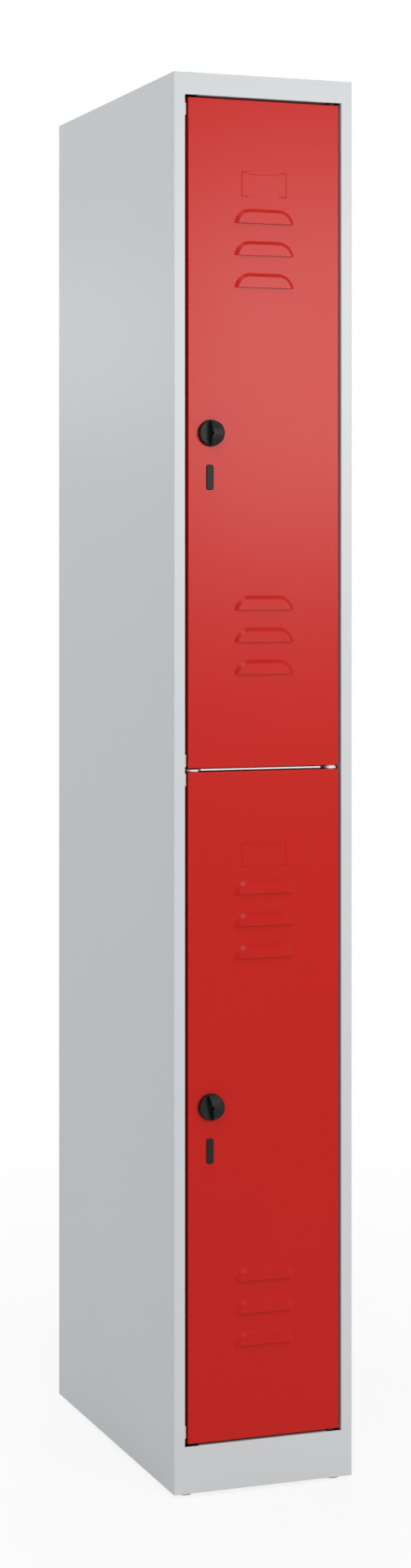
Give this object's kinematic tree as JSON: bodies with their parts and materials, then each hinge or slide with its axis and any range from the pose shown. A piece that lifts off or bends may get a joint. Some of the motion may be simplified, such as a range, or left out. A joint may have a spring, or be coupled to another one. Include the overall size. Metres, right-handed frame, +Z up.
{
  "type": "double-tier locker",
  "caption": "Tall narrow steel locker with stacked compartments behind right-hinged louvred doors, each with a turning knob latch and key lock.",
  "frame": {"origin": "centre of the carcass footprint, on the floor under the feet", "axes": "+Z up, the doors face -Y, +X towards the hinge side"},
  "size_m": [0.25, 0.513, 1.85],
  "materials": {
    "carcass_paint": "light grey semi-gloss powder coat",
    "door_paint": "red semi-gloss powder coat",
    "white_paint": "white powder coat",
    "white_plastic": "satin extruded",
    "black_plastic": "satin moulded",
    "grey_plastic": "matt moulded",
    "nylon": "natural nylon",
    "zinc_plate": "bright zinc plated",
    "dark_steel": "black oxide"
  },
  "bodies": {
    "carcass": {"left_side_panel": "carcass_paint", "right_side_panel": "carcass_paint", "back_panel": "carcass_paint", "top_panel": "carcass_paint", "floor_panel": "carcass_paint", "top_rail": "carcass_paint", "plinth_rail": "carcass_paint", "middle_shelf": "carcass_paint", "shelf_edge_strip": "white_plastic", "centre_pivot_bracket": "white_paint", "lock_side_bracket": "white_paint", "bracket_rivets": "zinc_plate", "centre_pivot_pin": "zinc_plate", "centre_pivot_washer": "nylon", "top_bearing_block": "black_plastic", "bottom_bearing_block": "black_plastic", "top_blanking_block": "black_plastic", "bottom_blanking_block": "black_plastic", "door_buffers": "grey_plastic", "foot_plates": "carcass_paint", "feet": "grey_plastic", "upper_coat_hook": "carcass_paint", "lower_coat_hook": "carcass_paint"},
    "upper_door": {"upper_door_skin": "door_paint", "upper_door_stiffener": "door_paint", "upper_door_pivot_pin": "zinc_plate", "upper_door_pivot_bush": "nylon", "upper_slot_plug": "black_plastic", "upper_lock_body": "black_plastic", "upper_lock_nut": "zinc_plate"},
    "upper_knob": {"upper_lock_knob": "black_plastic", "upper_latch_cam": "zinc_plate", "upper_cam_nut": "zinc_plate"},
    "upper_lock_core": {"upper_lock_core": "dark_steel"},
    "lower_door": {"lower_door_skin": "door_paint", "lower_door_stiffener": "door_paint", "lower_door_pivot_pin": "zinc_plate", "lower_door_pivot_bush": "nylon", "lower_slot_plug": "black_plastic", "lower_lock_body": "black_plastic", "lower_lock_nut": "zinc_plate"},
    "lower_knob": {"lower_lock_knob": "black_plastic", "lower_latch_cam": "zinc_plate", "lower_cam_nut": "zinc_plate"},
    "lower_lock_core": {"lower_lock_core": "dark_steel"}
  },
  "joints": [
    {"name": "upper_door_hinge", "type": "hinge", "parent": "carcass", "child": "upper_door", "pos_m": [0.0965, -0.242, 1.38185], "axis": [0, 0, 1], "range_deg": [0, 110]},
    {"name": "upper_knob_turn", "type": "hinge", "parent": "upper_door", "child": "upper_knob", "pos_m": [-0.0745, -0.25, 1.38185], "axis": [0, 1, 0], "range_deg": [0, 90]},
    {"name": "upper_key_turn", "type": "hinge", "parent": "upper_knob", "child": "upper_lock_core", "pos_m": [-0.0745, -0.25, 1.38185], "axis": [0, 1, 0], "range_deg": [0, 90]},
    {"name": "lower_door_hinge", "type": "hinge", "parent": "carcass", "child": "lower_door", "pos_m": [0.0965, -0.242, 0.50515], "axis": [0, 0, 1], "range_deg": [0, 110]},
    {"name": "lower_knob_turn", "type": "hinge", "parent": "lower_door", "child": "lower_knob", "pos_m": [-0.0745, -0.25, 0.50515], "axis": [0, 1, 0], "range_deg": [0, 102]},
    {"name": "lower_key_turn", "type": "hinge", "parent": "lower_knob", "child": "lower_lock_core", "pos_m": [-0.0745, -0.25, 0.50515], "axis": [0, 1, 0], "range_deg": [0, 90]}
  ]
}
